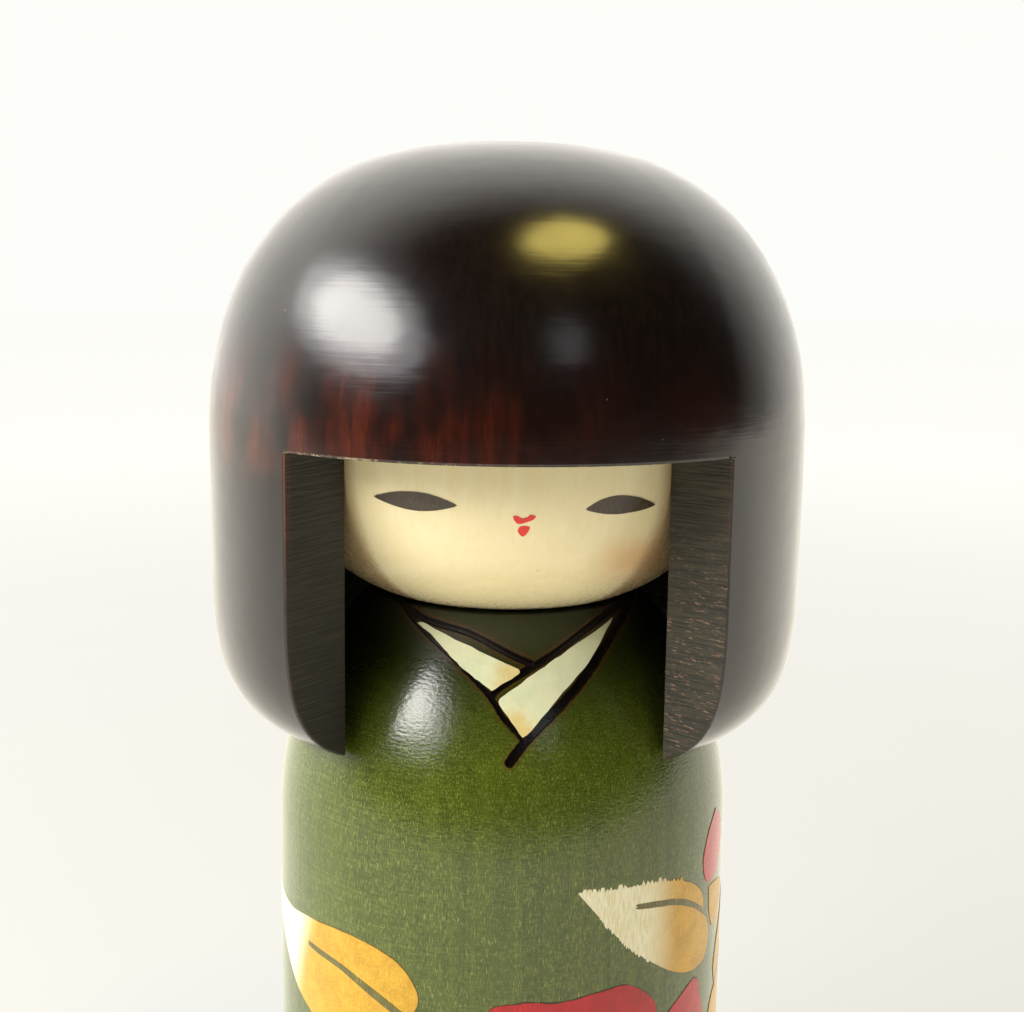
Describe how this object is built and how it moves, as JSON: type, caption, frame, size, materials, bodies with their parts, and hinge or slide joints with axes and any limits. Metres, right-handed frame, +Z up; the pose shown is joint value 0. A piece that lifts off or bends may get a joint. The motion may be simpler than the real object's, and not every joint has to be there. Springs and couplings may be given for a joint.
{
  "type": "kokeshi doll",
  "caption": "Turned wooden kokeshi doll with a green painted body, a pale face and a dark bell of hair; the head turns on its neck peg.",
  "frame": {"origin": "centre of the base, on the surface that the doll stands on", "axes": "+Z up along the turning axis, -Y to the front, where the face looks, +X to the doll's left"},
  "size_m": [0.092, 0.092, 0.18],
  "materials": {
    "stained_body": "moss green stain with painted flowers under gloss lacquer",
    "bare_wood": "bare, smooth turned",
    "pale_head": "ivory, satin lacquer",
    "dark_hair": "black-brown stain, gloss lacquer, matt on the sawn faces"
  },
  "bodies": {
    "body": {"body": "stained_body", "neck_peg": "bare_wood"},
    "head": {"head_core": "pale_head", "hair_cap": "dark_hair"}
  },
  "joints": [
    {"name": "head_turn", "type": "hinge", "parent": "body", "child": "head", "pos_m": [0, 0, 0.1112], "axis": [0, 0, 1], "continuous": true}
  ]
}
